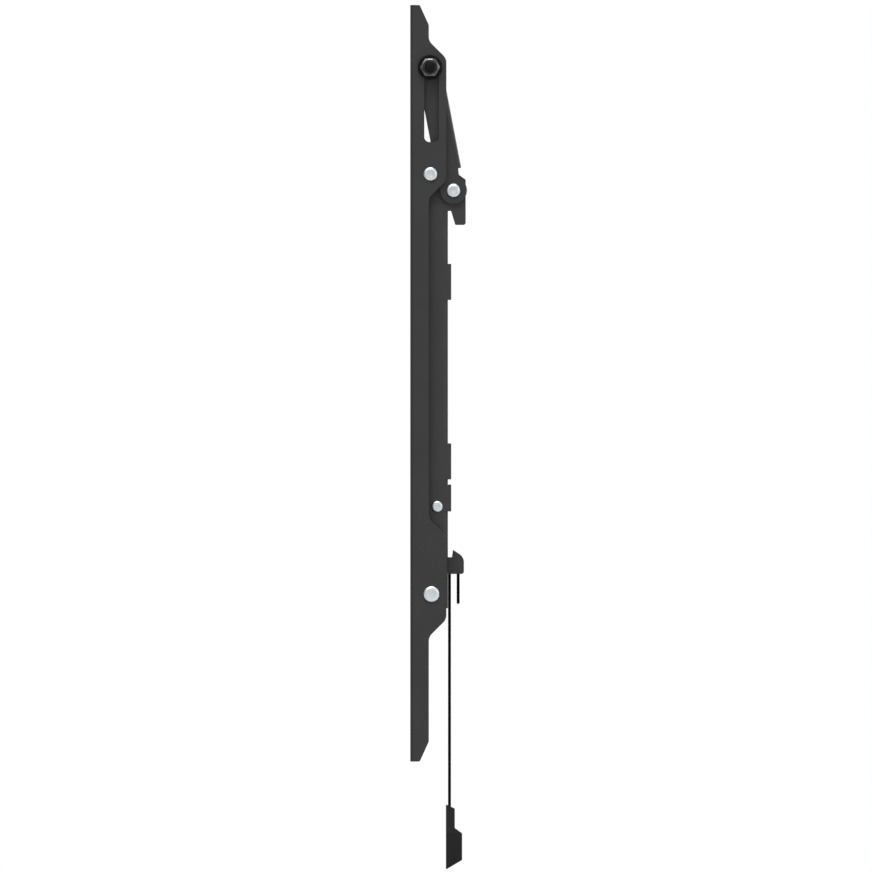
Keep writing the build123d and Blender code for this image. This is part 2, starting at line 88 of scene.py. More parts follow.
class Flow:
    """One output socket of a material, with operators that add Math nodes."""

    def __init__(self, book: "NodeBook", socket: bpy.types.NodeSocket) -> None:
        """Wraps a socket.

        Args:
            book: the node book that the socket belongs to.
            socket: the output socket.
        """
        self.book = book
        self.socket = socket

    def _math(self, operation: str, *values: Value) -> "Flow":
        """Adds one Math node on the given values and returns its result."""
        return self.book.node("ShaderNodeMath", {"operation": operation}, dict(enumerate(values)))

    def __add__(self, other: Value) -> "Flow":
        """self + other."""
        return self._math("ADD", self, other)

    def __radd__(self, other: Value) -> "Flow":
        """other + self."""
        return self._math("ADD", other, self)

    def __sub__(self, other: Value) -> "Flow":
        """self - other."""
        return self._math("SUBTRACT", self, other)

    def __rsub__(self, other: Value) -> "Flow":
        """other - self."""
        return self._math("SUBTRACT", other, self)

    def __mul__(self, other: Value) -> "Flow":
        """self times other."""
        return self._math("MULTIPLY", self, other)

    def __rmul__(self, other: Value) -> "Flow":
        """other times self."""
        return self._math("MULTIPLY", other, self)

    def __pow__(self, other: Value) -> "Flow":
        """self to the power of other."""
        return self._math("POWER", self, other)

    def sine(self) -> "Flow":
        """Sine of self, in radians."""
        return self._math("SINE", self)

    def ramp(self, low: float, high: float, to: tuple[float, float] = (0.0, 1.0)) -> "Flow":
        """Maps low..high smoothly onto the range to, and holds its ends outside.

        Args:
            low: value that becomes to[0].
            high: value that becomes to[1].
            to: the range that comes out.

        Returns:
            The mapped value.
        """
        return self.book.node(
            "ShaderNodeMapRange",
            {"interpolation_type": "SMOOTHSTEP"},
            {"Value": self, "From Min": low, "From Max": high, "To Min": to[0], "To Max": to[1]},
        )


class NodeBook:
    """The node tree of one new material or world."""

    def __init__(self, owner: Union[bpy.types.Material, bpy.types.World]) -> None:
        """Empties the owner's tree.

        Args:
            owner: a new material or world.
        """
        owner.use_nodes = True
        self.owner = owner
        self.tree = owner.node_tree
        self.tree.nodes.clear()

    @classmethod
    def of_material(cls, name: str) -> "NodeBook":
        """The book of a new material with the given name."""
        return cls(bpy.data.materials.new(name))

    def node(
        self,
        kind: str,
        settings: Optional[dict] = None,
        values: Optional[dict] = None,
        output: Union[int, str] = 0,
    ) -> Optional[Flow]:
        """Adds any node.

        Args:
            kind: the node's type.
            settings: properties, which are set before the sockets are looked up.
            values: what goes into each input, by the socket's name or number: a Flow is linked and
                anything else is set on the socket.
            output: name or number of the output to return.

        Returns:
            The chosen output as a Flow, or None for a node without outputs.
        """
        made = self.tree.nodes.new(kind)
        for key, value in (settings or {}).items():
            setattr(made, key, value)
        for key, value in (values or {}).items():
            if isinstance(value, Flow):
                self.tree.links.new(value.socket, made.inputs[key])
            else:
                made.inputs[key].default_value = value
        return Flow(self, made.outputs[output]) if made.outputs else None

    def place(self) -> Flow:
        """Object coordinates, which are the frame's own metres."""
        return self.node("ShaderNodeTexCoord", output="Object")

    def centred(self, centre: Sequence[float]) -> Flow:
        """Object coordinates counted from a centre.

        Args:
            centre: the point that becomes the origin, in metres.

        Returns:
            The shifted coordinates.
        """
        return self.node(
            "ShaderNodeVectorMath", {"operation": "SUBTRACT"}, {0: self.place(), 1: tuple(centre)}
        )

    def stretched(self, where: Flow, by: Sequence[float]) -> Flow:
        """Coordinates times a factor for each axis, so that a small factor draws a pattern out."""
        return self.node("ShaderNodeVectorMath", {"operation": "MULTIPLY"}, {0: where, 1: by})

    def part(self, vector: Flow, axis: str) -> Flow:
        """One component, X, Y or Z, of a vector."""
        return self.node("ShaderNodeSeparateXYZ", None, {0: vector}, axis)

    def noise(self, where: Flow, grain: float, detail: float = 2.0, rough: float = 0.5) -> Flow:
        """Fractal noise.

        Args:
            where: coordinates.
            grain: size of its coarsest lumps, in metres.
            detail: number of finer layers.
            rough: weight of the finer layers.

        Returns:
            A value from 0 to 1 around one half.
        """
        return self.node(
            "ShaderNodeTexNoise",
            None,
            {"Vector": where, "Scale": 1.0 / grain, "Detail": detail, "Roughness": rough},
            "Fac",
        )

    def cells(self, where: Flow, grain: float) -> Flow:
        """Distance to the nearest cell centre of a Voronoi pattern with cells of size grain."""
        return self.node(
            "ShaderNodeTexVoronoi", {"feature": "F1"}, {"Vector": where, "Scale": 1.0 / grain}, "Distance"
        )

    def tint(self, share: Value, first: Colour, second: Colour) -> Flow:
        """Colour between first, at share 0, and second, at share 1."""
        colours = {0: share, 6: (*first, 1.0), 7: (*second, 1.0)}
        return self.node("ShaderNodeMix", {"data_type": "RGBA"}, colours, 2)

    def bump(self, height: Flow, depth: float) -> Flow:
        """Normal of a surface where height 1 stands depth metres above height 0."""
        return self.node("ShaderNodeBump", None, {"Strength": 1.0, "Distance": depth, "Height": height})

    def finish(self, values: dict) -> bpy.types.Material:
        """Closes the tree with a Principled shader.

        Args:
            values: what goes into each of its sockets, by name.

        Returns:
            The finished material.
        """
        shader = self.node("ShaderNodeBsdfPrincipled", None, values)
        self.node("ShaderNodeOutputMaterial", None, {"Surface": shader})
        return self.owner


# ---- finishes ------------------------------------------------------


@dataclass(frozen=True)
class PowderCoat:
    """Black powder coat on sheet steel: orange peel, fine speckle and slow changes of shade."""

    dark: Colour = (0.0222, 0.0222, 0.0227)
    light: Colour = (0.0278, 0.0278, 0.0284)
    gloss: tuple[float, float] = (0.44, 0.56)
    peel: float = 0.9 * MM
    speck: float = 0.22 * MM
    peel_depth: float = 0.045 * MM

    def material(self, name: str) -> bpy.types.Material:
        """Builds the coat. Shade = slow mottling plus speckle; bump = peel lumps plus grain."""
        book = NodeBook.of_material(name)
        where = book.place()
        mottle = book.noise(where, 26 * MM, 3.0, 0.55).ramp(0.3, 0.7)
        grain = book.noise(where, self.speck, 1.0)
        lumps = book.noise(where, self.peel, 2.0, 0.45)
        scuff = book.noise(where, 5 * MM, 5.0, 0.7).ramp(0.62, 0.78)
        shade = mottle * 0.6 + grain.ramp(0.35, 0.75) * 0.4
        low, high = self.gloss
        return book.finish(
            {
                "Base Color": book.tint(shade, self.dark, self.light),
                "Roughness": low + (high - low) * lumps + scuff * 0.06,
                "IOR": 1.5,
                "Specular IOR Level": 0.42,
                "Normal": book.bump(lumps * 0.75 + grain * 0.25, self.peel_depth),
            }
        )


@dataclass(frozen=True)
class ZincPlate:
    """Bright zinc on a turned or headed steel piece, with rings left by the tool round its axis."""

    bright: Colour = (0.82, 0.87, 0.90)
    shaded: Colour = (0.70, 0.76, 0.80)
    gloss: tuple[float, float] = (0.30, 0.42)
    ring: float = 0.16 * MM

    def material(self, name: str, centre: Sequence[float]) -> bpy.types.Material:
        """Builds the plating.

        Args:
            name: the material's name.
            centre: a point on the piece's axis, which runs along X.

        Returns:
            The material. Rings = sine of the distance to the axis, broken up by noise.
        """
        book = NodeBook.of_material(name)
        at = book.centred(centre)
        across, up = book.part(at, "Y"), book.part(at, "Z")
        radius = (across * across + up * up) ** 0.5
        broken = book.noise(at, 1.1 * MM, 3.0)
        rings = (radius * (2 * pi / self.ring) + broken * 5.0).sine() * 0.5 + 0.5
        cloud = book.noise(at, 3.2 * MM, 4.0, 0.6).ramp(0.35, 0.7)
        spangle = book.cells(at, 0.5 * MM).ramp(0.1, 0.6)
        low, high = self.gloss
        return book.finish(
            {
                "Base Color": book.tint(cloud * 0.7 + spangle * 0.3, self.shaded, self.bright),
                "Metallic": 1.0,
                "Roughness": low + (high - low) * (rings * 0.5 + cloud * 0.5),
                "Normal": book.bump(rings * 0.6 + spangle * 0.4, 0.006 * MM),
            }
        )


@dataclass(frozen=True)
class BlackMetal:
    """Blackened hardware: glossy black nickel, dull black oxide or, with metal 0, black nylon."""

    dark: Colour
    light: Colour
    gloss: tuple[float, float]
    metal: float = 1.0
    streak: float = 0.35 * MM
    specular: float = 0.5

    def material(self, name: str) -> bpy.types.Material:
        """Builds the finish: drawing streaks along X, with smudges that change the gloss."""
        book = NodeBook.of_material(name)
        where = book.place()
        streaks = book.noise(book.stretched(where, (0.12, 1.0, 1.0)), self.streak, 2.0)
        smudge = book.noise(where, 2.6 * MM, 4.0, 0.65).ramp(0.38, 0.66)
        low, high = self.gloss
        return book.finish(
            {
                "Base Color": book.tint(smudge * 0.6 + streaks * 0.4, self.dark, self.light),
                "Metallic": self.metal,
                "Specular IOR Level": self.specular,
                "Roughness": low + (high - low) * smudge,
                "Normal": book.bump(streaks, 0.004 * MM),
            }
        )


@dataclass(frozen=True)
class MouldedPlastic:
    """Moulded plastic with a spark-eroded grain, faint flow marks and handling gloss."""

    dark: Colour
    light: Colour
    gloss: tuple[float, float] = (0.40, 0.58)
    grain: float = 0.30 * MM
    depth: float = 0.03 * MM
    specular: float = 0.4

    def material(self, name: str) -> bpy.types.Material:
        """Builds the plastic: grain = noise cut by cells, flow = noise stretched along Z."""
        book = NodeBook.of_material(name)
        where = book.place()
        pits = book.cells(where, self.grain).ramp(0.15, 0.65)
        fine = book.noise(where, 0.5 * self.grain, 2.0)
        flow = book.noise(book.stretched(where, (1.0, 1.0, 0.3)), 4.5 * MM, 4.0, 0.6).ramp(0.3, 0.7)
        low, high = self.gloss
        return book.finish(
            {
                "Base Color": book.tint(flow * 0.7 + fine * 0.3, self.dark, self.light),
                "Roughness": high - (high - low) * flow * pits,
                "IOR": 1.49,
                "Specular IOR Level": self.specular,
                "Normal": book.bump(pits * 0.6 + fine * 0.4, self.depth),
            }
        )


@dataclass(frozen=True)
class PressedSheet:
    """Washers and bushes cut or turned from nylon or friction fibre."""

    dark: Colour
    light: Colour
    fleck: float
    roughness: float

    def material(self, name: str) -> bpy.types.Material:
        """Builds the sheet: short flecks over slow clouds, with a dull, slightly torn surface."""
        book = NodeBook.of_material(name)
        where = book.place()
        flecks = book.cells(where, self.fleck).ramp(0.1, 0.7)
        cloud = book.noise(where, 3.0 * MM, 3.0, 0.6)
        return book.finish(
            {
                "Base Color": book.tint(flecks * 0.5 + cloud * 0.5, self.dark, self.light),
                "Roughness": self.roughness + cloud * 0.15,
                "Normal": book.bump(flecks, 0.012 * MM),
            }
        )


@dataclass(frozen=True)
class SpringWire:
    """Drawn spring steel. Its lines run along the wire, on the wire's own UV map."""

    dark: Colour = (0.34, 0.34, 0.35)
    light: Colour = (0.60, 0.60, 0.61)
    lines: float = 22.0

    def material(self, name: str) -> bpy.types.Material:
        """Builds the wire: die lines = noise stretched along the wire's length."""
        book = NodeBook.of_material(name)
        uv = book.node("ShaderNodeTexCoord", output="UV")
        lines = book.stretched(uv, (self.lines, 1.5, 1.0))
        die = book.node("ShaderNodeTexNoise", None, {"Vector": lines, "Scale": 1.0, "Detail": 3.0}, "Fac")
        return book.finish(
            {
                "Base Color": book.tint(die, self.dark, self.light),
                "Metallic": 1.0,
                "Roughness": 0.24 + die * 0.2,
                "Normal": book.bump(die, 0.004 * MM),
            }
        )


@dataclass(frozen=True)
class BraidedPolyester:
    """Black braided cord. The yarns' own fibres run on the cord's UV map, U round and V along."""

    dark: Colour = (0.0004, 0.0004, 0.0004)
    light: Colour = (0.0022, 0.0022, 0.0024)
    fibres: float = 60.0

    def material(self, name: str) -> bpy.types.Material:
        """Builds the cord: fibres = fine stripes that follow the yarns, with painted shade in the grooves
        between the yarns and lighter crowns.
        """
        book = NodeBook.of_material(name)
        uv = book.node("ShaderNodeTexCoord", output="UV")
        round_, along = book.part(uv, "X"), book.part(uv, "Y")
        lay = ((round_ * self.fibres + along * 90.0) * (2 * pi)).sine() * 0.5 + 0.5
        counter = ((round_ * self.fibres - along * 90.0) * (2 * pi)).sine() * 0.5 + 0.5
        fuzz = book.noise(book.place(), 0.12 * MM, 3.0, 0.6)
        crown = book.node("ShaderNodeAttribute", {"attribute_name": "crown"}, None, "Fac")
        # Crowns lighter and grooves between the yarns darker: painted shade.
        shade = crown * 0.55 + lay * counter * 0.25 + fuzz * 0.2
        return book.finish(
            {
                "Base Color": book.tint(shade, self.dark, self.light),
                "Roughness": 0.75 + fuzz * 0.2,
                "Specular IOR Level": 0.08,
                "Normal": book.bump(lay * counter * 0.6 + fuzz * 0.4, 0.02 * MM),
            }
        )


NYLON = PressedSheet((0.62, 0.60, 0.53), (0.74, 0.72, 0.66), 0.35 * MM, 0.38)
FIBRE = PressedSheet((0.050, 0.040, 0.034), (0.115, 0.095, 0.080), 0.28 * MM, 0.70)
BLACK_NICKEL = BlackMetal((0.10, 0.10, 0.103), (0.155, 0.155, 0.16), (0.14, 0.26))
LOCK_NYLON = BlackMetal((0.01, 0.01, 0.012), (0.03, 0.03, 0.032), (0.3, 0.45), 0.0)
# Near-black and barely reflecting: black steel, darkened further as painted shade round the nut and in its
# recess.
BLACK_OXIDE_AND_SHADE = BlackMetal((0.003, 0.003, 0.0032), (0.008, 0.008, 0.0085), (0.46, 0.60), 0.0, specular=0.1)
LATCH_PLASTIC = MouldedPlastic((0.0245, 0.0245, 0.0250), (0.0315, 0.0315, 0.0321))
HANDLE_PLASTIC = MouldedPlastic((0.0072, 0.0072, 0.0075), (0.0105, 0.0105, 0.0109), specular=0.22)


# ---- surfaces ------------------------------------------------------


class Ends(Enum):
    """How the first and last rows of a grid are closed."""

    POLES = "one point each"
    LOOP = "joined to each other"


def placed(name: str, data: bpy.types.ID) -> bpy.types.Object:
    """Makes an object of a mesh, lamp or camera and links it to the scene."""
    obj = bpy.data.objects.new(name, data)
    bpy.context.scene.collection.objects.link(obj)
    return obj


def grid_piece(
    name: str,
    rows: np.ndarray,
    ends: Ends,
    uv: Optional[np.ndarray] = None,
    crown: Optional[np.ndarray] = None,
) -> bpy.types.Object:
    """Makes a closed mesh from a grid of points whose rows are closed rings.

    Each four neighbours make a face. With POLES the first and last rows are averaged to one point
    and joined by triangles; with LOOP the last row joins the first. If the volume comes out
    negative the faces are turned round.

    Args:
        name: the piece's name.
        rows: points, shaped (rows, points round, 3).
        ends: how the end rows are closed.
        uv: coordinates of the same grid, shaped (rows, points round, 2).
        crown: a value for each point, from 0 to 1, kept as the attribute crown.

    Returns:
        The new object, smooth shaded, at the origin.
    """
    m, n = rows.shape[:2]
    index = np.arange(m * n).reshape(m, n)
    below = index if ends is Ends.LOOP else index[:-1]
    above = np.roll(index, -1, axis=0) if ends is Ends.LOOP else index[1:]
    quads = np.stack(
        [below, np.roll(below, -1, axis=1), np.roll(above, -1, axis=1), above], axis=-1
    ).reshape(-1, 4)
    points = rows.reshape(-1, 3)
    flat_uv = None if uv is None else uv.reshape(-1, 2)
    flat_crown = None if crown is None else crown.ravel()
    fans = np.empty((0, 3), int)
    if ends is Ends.POLES:
        poles = [np.full(n, m * n), np.full(n, m * n + 1)]
        points = np.vstack([points, rows[0].mean(axis=0), rows[-1].mean(axis=0)])
        fan_low = np.stack([poles[0], np.roll(index[0], -1), index[0]], axis=-1)
        fan_high = np.stack([poles[1], index[-1], np.roll(index[-1], -1)], axis=-1)
        fans = np.vstack([fan_low, fan_high])
        if flat_uv is not None:
            flat_uv = np.vstack([flat_uv, uv[0].mean(axis=0), uv[-1].mean(axis=0)])
        if flat_crown is not None:
            flat_crown = np.append(flat_crown, [0.0, 0.0])
    faces = quads.tolist() + fans.tolist()
    triangles = np.vstack([quads[:, :3], quads[:, [0, 2, 3]], fans])
    p, q, r = (points[triangles[:, k]] for k in range(3))
    if np.einsum("ij,ij->i", p, np.cross(q, r)).sum() < 0:
        faces = [face[::-1] for face in faces]
    mesh = bpy.data.meshes.new(name)
    mesh.from_pydata(points.tolist(), [], faces)
    mesh.update()
    if flat_uv is not None:
        corner = np.zeros(len(mesh.loops), np.int32)
        mesh.loops.foreach_get("vertex_index", corner)
        layer = mesh.uv_layers.new(name="along")
        layer.data.foreach_set("uv", flat_uv[corner].astype(np.float32).ravel())
    if flat_crown is not None:
        attribute = mesh.attributes.new("crown", "FLOAT", "POINT")
        attribute.data.foreach_set("value", flat_crown.astype(np.float32))
    mesh.shade_smooth()
    return placed(name, mesh)


def rounded(corners: Sequence[tuple[float, float, float]], closed: bool, steps: int = 5) -> np.ndarray:
    """Rounds a polygon's corners by arcs.

    Each corner is replaced by points on the circle of its radius that touches both sides; the
    radius is cut back where a side is too short.

    Args:
        corners: (x, radius from the axis, corner radius) of each corner.
        closed: whether the last corner joins the first.
        steps: points on each arc, less one.

    Returns:
        The points of the rounded outline, shaped (points, 2).
    """
    spots = np.array([c[:2] for c in corners], float)
    out: list[np.ndarray] = []
    count = len(corners)
    for i, (_, _, radius) in enumerate(corners):
        here = spots[i]
        if radius <= 0 or (not closed and i in (0, count - 1)):
            out.append(here[None])
            continue
        back, ahead = spots[i - 1] - here, spots[(i + 1) % count] - here
        size_b, size_a = np.linalg.norm(back), np.linalg.norm(ahead)
        back, ahead = back / size_b, ahead / size_a
        half = 0.5 * np.arccos(np.clip(back @ ahead, -1, 1))
        reach = min(radius / tan(half), 0.48 * size_b, 0.48 * size_a)
        centre = here + (back + ahead) / np.linalg.norm(back + ahead) * reach / cos(half)
        start, stop = here + back * reach - centre, here + ahead * reach - centre
        turn = np.arccos(np.clip(start @ stop / (start @ start), -1, 1))
        share = np.linspace(0, 1, steps + 1)[:, None]
        arc = (np.sin((1 - share) * turn) * start + np.sin(share * turn) * stop) / sin(turn)
        out.append(centre + arc)
    return np.vstack(out)


def turned(
    name: str, outline: np.ndarray, centre: tuple[float, float], ends: Ends
) -> bpy.types.Object:
    """Turns an outline about an axis along X.

    A point (x, r) of the outline at angle a goes to (x, cy + r cos a, cz + r sin a).

    Args:
        name: the piece's name.
        outline: (x, r) points in metres; with POLES its ends lie on the axis.
        centre: the axis's y and z.
        ends: how the outline closes.

    Returns:
        The new object.
    """
    if ends is Ends.POLES:
        outline = outline[1:-1]
    angle = np.linspace(0, 2 * pi, ROUND, endpoint=False)
    x = np.repeat(outline[:, :1], ROUND, axis=1)
    y = centre[0] + outline[:, 1:] * np.cos(angle)
    z = centre[1] + outline[:, 1:] * np.sin(angle)
    return grid_piece(name, np.stack([x, y, z], axis=-1), ends)


def carried(
    line: np.ndarray, ahead: np.ndarray, out: np.ndarray, radius: float, count: int
) -> np.ndarray:
    """Carries a ring along a line.

    With s = ahead x out and u = s x ahead, both of length one, the ring's point at angle a is
    line + radius (u cos a + s sin a).

    Args:
        line: points of the line, shaped (points, 3).
        ahead: direction of the line at each point.
        out: a direction at each point that the ring starts from.
        radius: the ring's radius.
        count: points on the ring.

    Returns:
        The rings, shaped (points, count, 3).
    """
    ahead = ahead / np.linalg.norm(ahead, axis=1, keepdims=True)
    side = np.cross(ahead, out)
    side /= np.linalg.norm(side, axis=1, keepdims=True)
    up = np.cross(side, ahead)
    a = np.linspace(0, 2 * pi, count, endpoint=False)[None, :, None]
    return line[:, None] + radius * (np.cos(a) * up[:, None] + np.sin(a) * side[:, None])


def refined_copy(name: str, node: str, edge: float) -> bpy.types.Object:
    """Copies a CAD node, merges its loose triangles and rounds its sharp edges.

    Points nearer than 2 micrometres are merged, faces in one plane are joined, and sharp edges
    are rounded.

    Args:
        name: the new piece's name.
        node: the CAD node.
        edge: width of the rounding, in metres.

    Returns:
        The new object, which stands for the node.
    """
    mesh = bpy.data.meshes.new(name)
    work = bmesh.new()
    work.from_mesh(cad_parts[node].data)
    bmesh.ops.remove_doubles(work, verts=work.verts, dist=0.002 * MM)
    bmesh.ops.dissolve_limit(
        work,
        angle_limit=radians(0.4),
        use_dissolve_boundaries=False,
        verts=work.verts,
        edges=work.edges,
        delimit={"NORMAL"},
    )
    bmesh.ops.recalc_face_normals(work, faces=work.faces)
    work.to_mesh(mesh)
    work.free()
    mesh.shade_smooth()
    obj = placed(name, mesh)
    soften(obj, edge)
    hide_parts(node)
    return obj


def soften(obj: bpy.types.Object, edge: float, fold: float = 32.0) -> None:
    """Rounds the edges that are sharper than fold, with a weighted Bevel, and keeps flat faces
    flat to the eye.

    An edge is left sharp where it runs into a pointed corner of a face, since there its two
    offsets would meet far outside the piece.

    Args:
        obj: the piece.
        edge: width of the rounding, in metres.
        fold: smallest angle that counts as an edge, in degrees.
    """
    obj.data.set_sharp_from_angle(angle=radians(fold))
    work = bmesh.new()
    work.from_mesh(obj.data)
    weight = work.edges.layers.float.new("bevel_weight_edge")
    sharp = {e for e in work.edges if len(e.link_faces) == 2 and e.calc_face_angle(0.0) > radians(fold)}
    pointed = {
        corner.vert
        for face in work.faces
        for corner in face.loops
        if corner.calc_angle() < radians(POINTED)
        and corner.edge in sharp
        and corner.link_loop_prev.edge in sharp
    }
    for e in sharp:
        e[weight] = 0.0 if pointed.intersection(e.verts) else 1.0
    work.to_mesh(obj.data)
    work.free()
    bevel = obj.modifiers.new("rounded edges", "BEVEL")
    bevel.width = edge
    bevel.segments = 2
    bevel.limit_method = "WEIGHT"
    bevel.miter_outer = "MITER_ARC"
    bevel.use_clamp_overlap = False
    even = obj.modifiers.new("flat faces shade flat", "WEIGHTED_NORMAL")
    even.keep_sharp = True
    even.weight = 100


def dress(
    obj: bpy.types.Object, material: bpy.types.Material, body: str, replaced: Sequence[str] = ()
) -> bpy.types.Object:
    """Gives a piece its material and body, and hides the CAD nodes that it stands for.

    Args:
        obj: the piece.
        material: its finish.
        body: the CAD body that it rides on.
        replaced: CAD nodes that it stands for.

    Returns:
        The piece.
    """
    obj.data.materials.clear()
    obj.data.materials.append(material)
    if replaced:
        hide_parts(*replaced)
    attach(obj, body)
    log.info("%s rides on %s", obj.name, body)
    return obj


def middle(node: str) -> tuple[float, float]:
    """The y and z of the middle of a CAD node's box."""
    low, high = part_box(node)
    return (low.y + high.y) / 2, (low.z + high.z) / 2


# ---- sheet metal ---------------------------------------------------


@dataclass
class SheetMetal:
    """The three folded pieces: the TV bracket, the hook rail and the tilt arm."""

    edge: float = 0.22 * MM
    coats: tuple[tuple[str, PowderCoat], ...] = (
        ("tv_bracket", PowderCoat()),
        ("hook_rail", PowderCoat((0.0255, 0.0255, 0.0260), (0.0315, 0.0315, 0.0321))),
        # The tilt arm's coat is darker than the bracket's: painted shade of the recess it sits in behind
        # the bracket's flange.
        ("tilt_arm", PowderCoat((0.0208, 0.0208, 0.0214), (0.0258, 0.0258, 0.0265))),
    )

    def build(self) -> None:
        """Builds each folded piece from its CAD node and coats it. Each body has its node's name."""
        for node, coat in self.coats:
            piece = refined_copy(f"{node}_coated", node, self.edge)
            dress(piece, coat.material(f"powder_coat_{node}"), node)


# ---- rivets, tubes and washers -------------------------------------


@dataclass
class Rivet:
    """Double-headed rivet across the bracket. Each head has a short wall, a domed shoulder and a
    shallow dish left by the punch."""

    node: str
    body: str
    shank: float
    head_height: float
    dish: float = 0.12 * MM
    crown: float = 0.52

    def outline(self) -> np.ndarray:
        """Half outline from one pole to the other.

        The shoulder is a quarter ellipse from the head's wall to its crown, and the dish is a
        parabola: depth times (1 - (r / crown radius) squared).

        Returns:
            (x, r) points.
        """
        low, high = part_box(self.node)
        end, head = high.x, (high.z - low.z) / 2
        seat, flat, wall = end - self.head_height, self.crown * head, 0.28 * self.head_height
        r = np.linspace(0, flat, 9)
        dish = np.stack([end - self.dish * (1 - (r / flat) ** 2), r], axis=-1)
        a = np.linspace(0, pi / 2, 14)[1:]
        rise = seat + wall
        shoulder = np.stack([rise + (end - rise) * np.cos(a), flat + (head - flat) * np.sin(a)], axis=-1)
        corners = [(rise, head, 0), (seat, head, 0.12 * MM)]
        corners += [(seat, self.shank, 0.1 * MM), (0, self.shank, 0)]
        foot = rounded(corners, closed=False)[1:]
        half = np.vstack([dish, shoulder, foot])
        return np.vstack([half, (half * (-1, 1))[-2::-1]])

    def build(self, plating: ZincPlate) -> None:
        """Turns the rivet and plates it."""
        centre = middle(self.node)
        piece = turned(f"{self.node}_headed", self.outline(), centre, Ends.POLES)
        material = plating.material(f"zinc_{self.node}", (0, *centre))
        dress(piece, material, self.body, [self.node])


@dataclass
class Ring:
    """Tube, bush or washer on an axis across the bracket, alone or as a left and right pair."""

    node: str
    body: str
    slot: str
    bore: float
    length: Optional[float] = None
    corner: float = 0.18 * MM

    def build(self, make: Callable[[str, Sequence[float]], bpy.types.Material]) -> None:
        """Turns one ring, or two where length is shorter than the node.

        Args:
            make: gives the material from a name and a centre.
        """
        low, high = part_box(self.node)
        centre, outer = middle(self.node), (high.z - low.z) / 2
        spans = [(low.x, high.x)]
        if self.length is not None:
            spans = [(high.x - self.length, high.x), (low.x, low.x + self.length)]
        material = make(self.node, (0, *centre))
        for side, (start, stop) in zip(("right", "left"), spans):
            outline = rounded(
                [
                    (start, self.bore, self.corner),
                    (start, outer, self.corner),
                    (stop, outer, self.corner),
                    (stop, self.bore, self.corner),
                ],
                closed=True,
            )
            name = f"{self.node}_{side}" if self.length is not None else f"{self.node}_turned"
            piece = turned(name, outline, centre, Ends.LOOP)
            dress(piece, material, self.body, [self.node])


# ---- clamping bolt -------------------------------------------------


